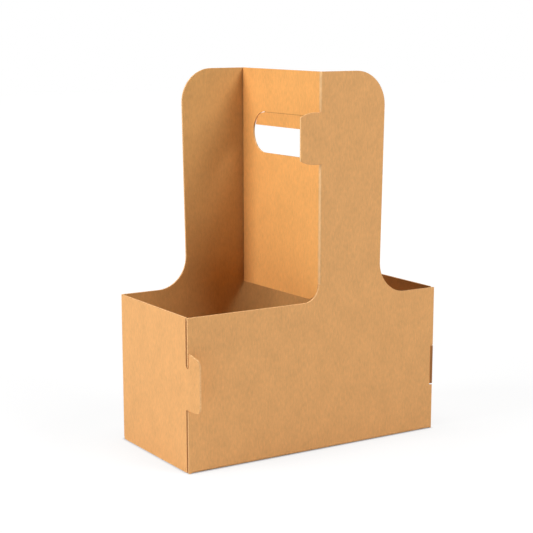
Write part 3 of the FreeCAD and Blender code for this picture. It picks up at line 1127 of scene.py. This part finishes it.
@dataclass(frozen=True)
class KraftPaper:
    """Brown uncoated liner with its fibres, flecks and clouds, on the flat blank's coordinates.

    Args:
        outside: Colour of the carrier's outer faces.
        warm_bounce: Colour of the divider, warmer and lighter with painted bounce light.
        hollow_shade: Colour of the inner faces, darker with painted shade.
        painted_fold_light: Colour of the painted highlight along a fold's outer side.
        shaded: Colour of the painted shade on a fold's outer side where it lies in a slit.
        roughness: Roughness of the paper.
        gloss: How strongly it shines.
        grain: Its fibres.
        fleck: Its flecks.
        cloud: Its wide light and dark patches.
        relief: How strongly fibres and flecks stand out of the surface.
        relief_depth: How far they do.
    """

    outside: Tone = (0.825, 0.43, 0.16)
    warm_bounce: Tone = (0.88, 0.42, 0.12)
    hollow_shade: Tone = (0.70, 0.388, 0.135)
    painted_fold_light: Tone = (0.95, 0.58, 0.27)
    shaded: Tone = (0.30, 0.115, 0.03)
    roughness: float = 0.8
    gloss: float = 0.3
    grain: Mottle = Mottle(1000.0, 3.0, 0.3, 0.34)
    fleck: Mottle = Mottle(520.0, 4.0, 0.45, 0.21)
    cloud: Mottle = Mottle(85.0, 3.0, 0.7, 0.22)
    relief: float = 0.35
    relief_depth: float = 0.06 * MM

    def build(self) -> bpy.types.Material:
        """Make the material.

        Returns:
            The liners' material.
        """
        nodes = PaperNodes("kraft_liner", self.roughness, self.gloss)
        grain, fleck = self.grain.build(nodes), self.fleck.build(nodes)
        light = self.grain.add_to(nodes, 1.0, grain)
        light = self.fleck.add_to(nodes, light, fleck)
        light = self.cloud.add_to(nodes, light, self.cloud.build(nodes))
        nodes.connect("Base Color", nodes.scaled(self.tone(nodes), light))
        bump = nodes.node("ShaderNodeBump", {
            "Strength": self.relief, "Distance": self.relief_depth,
            "Height": nodes.maths("ADD", grain, fleck)})
        nodes.connect("Normal", bump.outputs[0])
        return nodes.material

    def tone(self, nodes: PaperNodes) -> bpy.types.NodeSocket:
        """Choose the paper's colour by face of the carrier, with painted light and shade, also at
        folds.

        Args:
            nodes: Nodes of the liners' material.

        Returns:
            The colour before fibres, flecks and clouds.
        """
        # Painted shade darkens the inner faces, and painted bounce light warms the divider.
        ramp = nodes.node("ShaderNodeValToRGB", {"Fac": nodes.face_value("tone")})
        stops = ramp.color_ramp.elements
        stops[0].color = (*self.outside, 1.0)
        stops[1].color = (*self.hollow_shade, 1.0)
        stops.new(0.5).color = (*self.warm_bounce, 1.0)
        # Painted highlight on fold ridges above 0, painted shade in slits below 0.
        ridge = nodes.face_value("ridge")
        light = nodes.blend(nodes.maths("MAXIMUM", ridge, 0.0), ramp.outputs[0], self.painted_fold_light)
        slit = nodes.maths("MAXIMUM", nodes.maths("MULTIPLY", ridge, -1.0), 0.0)
        return nodes.blend(slit, light, self.shaded)


@dataclass(frozen=True)
class CutEdge:
    """Cut edge of the board, where the flutes between its liners show.

    Args:
        pressed: Colour of the pressed paper.
        flute: Colour in a flute, a painted shade of its opening.
        pitch: Distance between two flutes, which run up the walls.
        depth: How much of the flutes' colour comes and goes along the edge.
        share: How much of it there is on the whole.
        torn: The edge's torn fibres.
        roughness: Roughness of the edge.
        gloss: How strongly it shines.
    """

    pressed: Tone = (0.95, 0.58, 0.27)
    flute: Tone = (0.66, 0.34, 0.13)
    pitch: float = 3.2 * MM
    depth: float = 0.2
    share: float = 0.25
    torn: Mottle = Mottle(1800.0, 2.0, 1.0, 1.4)
    roughness: float = 0.95
    gloss: float = 0.15

    def build(self) -> bpy.types.Material:
        """Make the material.

        Returns:
            The cut edges' material.
        """
        nodes = PaperNodes("kraft_cut", self.roughness, self.gloss)
        across = nodes.node("ShaderNodeSeparateXYZ", {0: nodes.flat}).outputs["X"]
        # Painted shade of the flute openings comes and goes along the edge.
        wave = nodes.maths("SINE", nodes.maths("MULTIPLY", across, math.tau / self.pitch))
        wave = nodes.maths("MULTIPLY", wave, self.depth)
        share = self.torn.add_to(nodes, wave, self.torn.build(nodes))
        share = nodes.node("ShaderNodeClamp", {0: nodes.maths("ADD", share, self.share)})
        nodes.connect("Base Color", nodes.blend(share.outputs[0], self.pressed, self.flute))
        return nodes.material


@dataclass
class Carrier:
    """The folded carrier as one piece.

    Args:
        sizes: Its sizes.
        paper: Finish of both liners.
        cut_edge: Finish of the cut edges.
        crushed: How far from a cut edge the board is crushed at most, in millimetres.
    """

    sizes: CarrierSizes = CarrierSizes()
    paper: KraftPaper = KraftPaper()
    cut_edge: CutEdge = CutEdge()
    crushed: float = 0.45

    CRUSHED_ROWS = 2

    def build(self) -> bpy.types.Object:
        """Draw the blank, fold it and put it in place of the plain solid.

        Returns:
            The folded board.
        """
        blank = Blank(self.sizes)
        coats = {Coat.LINER: self.paper.build(), Coat.CUT: self.cut_edge.build()}
        piece = BoardMesh(blank).build("folded_board")
        FoldingTree(blank, coats).apply(piece)
        self.crush_edges(piece)
        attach(piece, "root")
        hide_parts("cup_carrier")
        return piece

    def crush_edges(self, piece: bpy.types.Object) -> None:
        """Round both rims of the cut edges, which the die presses down.

        Args:
            piece: The folded board.
        """
        bevel = piece.modifiers.new("Crushed edges", "BEVEL")
        bevel.limit_method = "WEIGHT"
        bevel.width = self.crushed * MM
        bevel.segments = self.CRUSHED_ROWS
        bevel.material = Coat.CUT.value


@dataclass(frozen=True)
class Lamp:
    """A square soft lamp that stands round the carrier and points at its middle.

    Args:
        name: The lamp's name.
        azimuth: Degrees from +X towards +Y.
        elevation: Degrees above the horizon.
        power: Its power in watts.
        side: Side of its square.
        distance: How far it stands from the carrier's middle.
        middle: Height of the carrier's middle.
    """

    name: str
    azimuth: float
    elevation: float
    power: float
    side: float = 0.7
    distance: float = 1.6
    middle: float = 0.12

    def build(self) -> None:
        """Make the lamp."""
        data = bpy.data.lights.new(self.name, "AREA")
        data.shape, data.size, data.energy = "SQUARE", self.side, self.power
        turn, rise = math.radians(self.azimuth), math.radians(self.elevation)
        way = Vector((math.cos(rise) * math.cos(turn), math.cos(rise) * math.sin(turn),
                      math.sin(rise)))
        lamp = bpy.data.objects.new(self.name, data)
        lamp.location = Vector((0.0, 0.0, self.middle)) + way * self.distance
        lamp.rotation_euler = (-way).to_track_quat("-Z", "Y").to_euler()
        bpy.context.scene.collection.objects.link(lamp)


@dataclass(frozen=True)
class View:
    """Camera of the photograph, worked out for its square frame.

    Args:
        place: Where the camera stands.
        yaw: Degrees that it is turned from +Y towards +X.
        pitch: Degrees that it looks down.
        focal: Focal length in pixels of the photograph.
        rise: How far the optical axis lies below the frame's middle, in pixels.
        frame_side: Side of the photograph, in pixels.
    """

    place: tuple[float, float, float] = (-0.49905, -0.77514, 0.27617)
    yaw: float = 32.23
    pitch: float = 11.32
    focal: float = 1414.8
    rise: float = 33.5
    frame_side: float = 533.0

    SENSOR = 36.0

    def build(self) -> None:
        """Make the camera and use it."""
        data = bpy.data.cameras.new("camera")
        data.sensor_width = self.SENSOR
        data.lens = self.focal / self.frame_side * self.SENSOR
        data.shift_y = self.rise / self.frame_side
        camera = bpy.data.objects.new("camera", data)
        camera.location = self.place
        camera.rotation_euler = (math.radians(90 - self.pitch), 0.0, math.radians(-self.yaw))
        bpy.context.scene.collection.objects.link(camera)
        bpy.context.scene.camera = camera


def seen_directly(nodes: NodeMaker) -> bpy.types.NodeSocket:
    """Return 1 for what the camera, a reflection or a clear piece shows, or else 0."""
    path = nodes.node("ShaderNodeLightPath").outputs
    seen = nodes.maths("MAXIMUM", path["Is Camera Ray"], path["Is Glossy Ray"])
    return nodes.maths("MAXIMUM", seen, path["Is Transmission Ray"])


@dataclass(frozen=True)
class Floor:
    """Pale floor that looks white and keeps the object's shadow, cast by the lamps and also
    painted into its own light.

    Args:
        side: Side of its square.
        near: Distance from the carrier's middle up to which it is dimmest.
        far: Distance from which it is white.
        dim: How bright it looks up to the nearer distance.
        shadow_line_reach: Width of the painted shadow line where the carrier stands on it.
        shadow_line_power: How dark that painted shadow line is.
        soft_shadow_reach: Width of the painted soft shadow round the carrier.
        soft_shadow_power: How dark that painted shadow is.
        grey: Its grey as the carrier sees it.
        seen_grey: Its grey where it is seen directly, on top of the light of its own.
        samples: Number of rays by which line and shade are found.
    """

    side: float = 8.0
    near: float = 0.25
    far: float = 0.9
    dim: float = 0.88
    shadow_line_reach: float = 0.0025
    shadow_line_power: float = 0.9
    soft_shadow_reach: float = 0.03
    soft_shadow_power: float = 0.12
    grey: float = 0.8
    seen_grey: float = 0.15
    samples: int = 8

    def build(self) -> None:
        """Make the floor, as a piece of the studio."""
        half = self.side / 2
        mesh = bpy.data.meshes.new("floor")
        mesh.from_pydata([(-half, -half, 0), (half, -half, 0), (half, half, 0), (-half, half, 0)],
                         [], [(0, 1, 2, 3)])
        mesh.materials.append(self.surface())
        floor = bpy.data.objects.new("floor", mesh)
        bpy.context.scene.collection.objects.link(floor)

    def surface(self) -> bpy.types.Material:
        """Make the floor's material: matte grey, with a light of its own where it is seen.

        Returns:
            The material.
        """
        material = bpy.data.materials.new("floor")
        material.use_nodes = True
        material.node_tree.nodes.clear()
        nodes = NodeMaker(material.node_tree)
        seen = seen_directly(nodes)
        shade = nodes.maths("MULTIPLY", seen, self.grey - self.seen_grey)
        shade = nodes.maths("SUBTRACT", self.grey, shade)
        grey = nodes.node("ShaderNodeCombineColor", {0: shade, 1: shade, 2: shade}).outputs[0]
        matte = nodes.node("ShaderNodeBsdfDiffuse", {"Color": grey})
        own = nodes.node("ShaderNodeEmission", {
            "Color": WHITE, "Strength": nodes.maths("MULTIPLY", seen, self.glow(nodes))})
        both = nodes.node("ShaderNodeAddShader", {0: matte.outputs[0], 1: own.outputs[0]})
        nodes.node("ShaderNodeOutputMaterial", {0: both.outputs[0]})
        return material

    def glow(self, nodes: NodeMaker) -> bpy.types.NodeSocket:
        """Work out how bright the floor looks, with the shade that the carrier throws close by.

        Args:
            nodes: Nodes of the floor's material.

        Returns:
            Strength of the floor's own light.
        """
        place = nodes.node("ShaderNodeTexCoord").outputs["Object"]
        away = nodes.vector("LENGTH", place, out="Value")
        glow = nodes.node("ShaderNodeMapRange", {
            0: away, 1: self.near, 2: self.far, 3: self.dim, 4: 1.0},
            interpolation_type="SMOOTHSTEP").outputs[0]
        # Painted shadow: ambient occlusion darkens the floor's own light in a thin line where the
        # carrier stands and softly round it.
        for reach, power in ((self.shadow_line_reach, self.shadow_line_power),
                             (self.soft_shadow_reach, self.soft_shadow_power)):
            open_sky = nodes.node("ShaderNodeAmbientOcclusion", {"Distance": reach},
                                  samples=self.samples).outputs["AO"]
            glow = nodes.maths("MULTIPLY", glow, nodes.maths("POWER", open_sky, power))
        return glow


@dataclass
class Studio:
    """Camera, lamps, world and floor.

    Args:
        view: The camera.
        lamps: The lamps.
        floor: The floor.
    """

    view: View = View()
    lamps: tuple[Lamp, ...] = (
        Lamp("key", 172.0, 31.0, 19.2),
        Lamp("key_top", 120.0, 60.0, 5.0),
        Lamp("fill_high", 300.0, 45.0, 16.4),
        Lamp("fill_low", 300.0, 10.0, 1.4),
    )
    floor: Floor = Floor()

    def build(self) -> None:
        """Make everything that isn't part of the object."""
        self.view.build()
        for lamp in self.lamps:
            lamp.build()
        self.add_world()
        self.floor.build()

    def add_world(self) -> None:
        """Make the world white where it is seen directly, and dark as a light."""
        world = bpy.data.worlds.new("studio")
        world.use_nodes = True
        bpy.context.scene.world = world
        world.node_tree.nodes.clear()
        nodes = NodeMaker(world.node_tree)
        dark = nodes.node("ShaderNodeBackground", {"Color": WHITE, "Strength": 0.0})
        white = nodes.node("ShaderNodeBackground", {"Color": WHITE, "Strength": 1.0})
        mix = nodes.node("ShaderNodeMixShader", {0: seen_directly(nodes), 1: dark.outputs[0],
                                                 2: white.outputs[0]})
        nodes.node("ShaderNodeOutputWorld", {0: mix.outputs[0]})


def main() -> None:
    """Build the object and the studio."""
    logging.basicConfig(level=logging.INFO, format="%(message)s")
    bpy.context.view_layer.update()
    board = Carrier().build()
    LOG.info("%s: one sheet of %d faces", board.name, len(board.data.polygons))
    Studio().build()
    LOG.info("studio: camera, lamps, world and floor")
    bpy.context.scene.view_settings.view_transform = "Standard"


if __name__ == "__main__":
    main()
